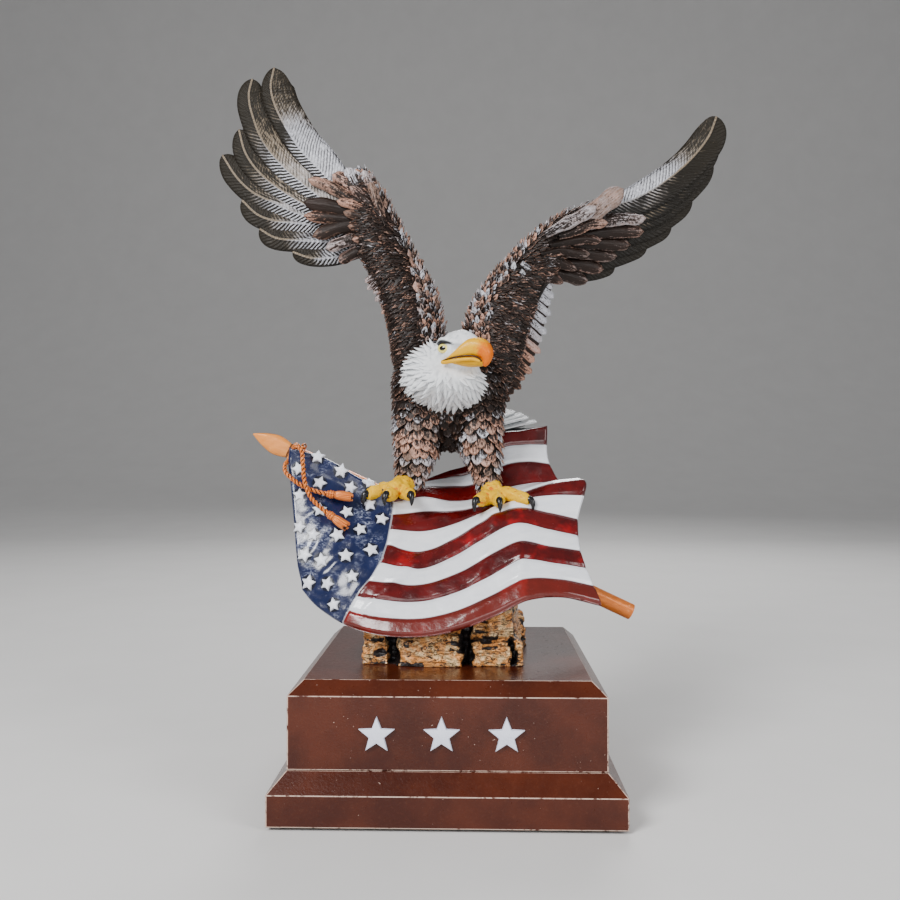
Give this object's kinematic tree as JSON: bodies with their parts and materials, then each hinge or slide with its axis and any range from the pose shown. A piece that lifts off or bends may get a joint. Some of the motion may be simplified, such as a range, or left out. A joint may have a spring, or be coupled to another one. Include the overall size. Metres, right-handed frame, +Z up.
{
  "type": "eagle statuette on a stepped plinth",
  "caption": "Painted bronze-look eagle with raised wings, standing on a draped flag over a rock outcrop and slanting pole, on a stepped plinth.",
  "frame": {"origin": "centre of the plinth's underside, on the surface that the statuette stands on", "axes": "+Z up, +X to the viewer's right, +Y away from the front face with the stars"},
  "size_m": [0.228, 0.132, 0.31],
  "materials": {
    "felt": "matt felt",
    "plinth_paint": "glossy red-brown paint, worn pale on the edges",
    "star_enamel": "off-white enamel",
    "rock_bronze": "orange-gold bronze paint over black",
    "flag_paint": "glossy red, off-white and navy paint",
    "pole_copper": "copper paint",
    "cord_copper": "copper paint over dark brown",
    "bronze_plumage": "dark bronze with coppery and silvery dry-brushed highlights",
    "head_paint": "white paint, yellow beak",
    "tail_paint": "white paint, grey in the hollows",
    "foot_paint": "yellow-orange paint, black talons",
    "fastener_steel": "plain steel",
    "insert_brass": "machined brass"
  },
  "bodies": {
    "root": {"felt_pad": "felt", "plinth_foot": "plinth_paint", "plinth_block": "plinth_paint", "front_stars": "star_enamel", "rock_outcrop": "rock_bronze", "flag": "flag_paint", "flagpole": "pole_copper", "pole_finial": "pole_copper", "flag_cord": "cord_copper", "cord_tassels": "cord_copper", "eagle_body": "bronze_plumage", "eagle_head": "head_paint", "left_wing": "bronze_plumage", "right_wing": "bronze_plumage", "tail": "tail_paint", "left_foot": "foot_paint", "right_foot": "foot_paint", "tier_screws": "fastener_steel", "figure_bolts": "fastener_steel", "bolt_washers": "fastener_steel", "threaded_inserts": "insert_brass", "leg_rods": "fastener_steel", "wing_dowels": "fastener_steel", "head_dowel": "fastener_steel", "tail_dowel": "fastener_steel"}
  },
  "joints": []
}
